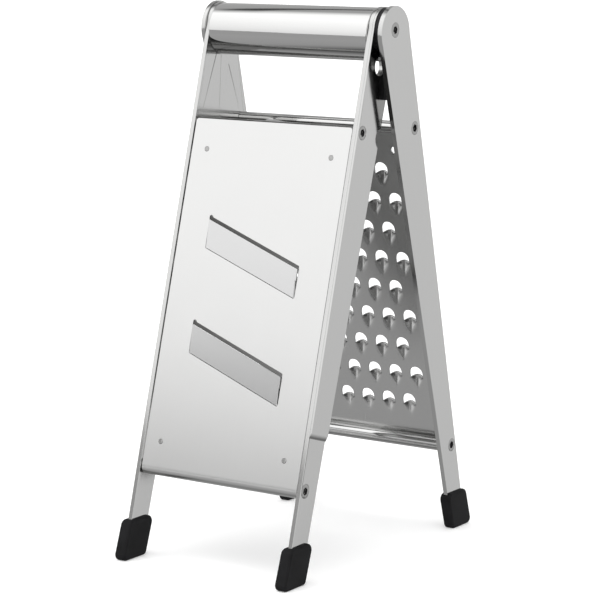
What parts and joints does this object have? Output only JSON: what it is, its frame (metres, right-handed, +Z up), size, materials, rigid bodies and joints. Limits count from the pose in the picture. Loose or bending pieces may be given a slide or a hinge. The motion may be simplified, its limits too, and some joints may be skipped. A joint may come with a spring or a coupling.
{
  "type": "folding a-frame mandoline slicer and grater",
  "caption": "Free-standing folding steel kitchen slicer: a slicing panel with slanted blades on the front leg, a grater panel on the back leg, a tube handle on the hinge and rubber feet.",
  "frame": {"origin": "on the table plane, in the middle of the footprint, straight below the hinge axis", "axes": "+Z up, +X across the slicer to the right seen from the slicing side, -Y out of the slicing side"},
  "size_m": [0.1202, 0.1872, 0.2998],
  "materials": {
    "bar_steel": "fine lengthwise brushing, close to polished",
    "panel_steel": "satin sheet",
    "blade_steel": "ground and honed edge",
    "polished_steel": "mirror polish",
    "screw_steel": "machined",
    "black_plastic": "smooth moulded",
    "foot_rubber": "soft matt, slightly rounded"
  },
  "bodies": {
    "slicer_frame": {"front_bar_left": "bar_steel", "front_bar_right": "bar_steel", "doubler": "bar_steel", "front_upper_rod": "polished_steel", "front_lower_rod": "polished_steel", "front_rod_screws": "screw_steel", "slicer_panel": "panel_steel", "upper_blade": "blade_steel", "lower_blade": "blade_steel", "panel_clips": "panel_steel", "panel_rivets": "screw_steel", "handle_tube": "polished_steel", "handle_plug_left": "black_plastic", "handle_plug_right": "black_plastic", "hinge_spacer": "black_plastic", "pivot_screws": "screw_steel", "front_foot_left": "foot_rubber", "front_foot_right": "foot_rubber"},
    "grater_frame": {"rear_bar_left": "bar_steel", "rear_bar_right": "bar_steel", "rear_upper_rod": "polished_steel", "rear_lower_rod": "polished_steel", "rear_rod_screws": "screw_steel", "grater_panel": "panel_steel", "stop_pin": "screw_steel", "rear_foot_left": "foot_rubber", "rear_foot_right": "foot_rubber"}
  },
  "joints": [
    {"name": "fold_hinge", "type": "hinge", "parent": "slicer_frame", "child": "grater_frame", "pos_m": [-0.0022, 0, 0.287], "axis": [1, 0, 0], "range_deg": [-27, 0]}
  ]
}
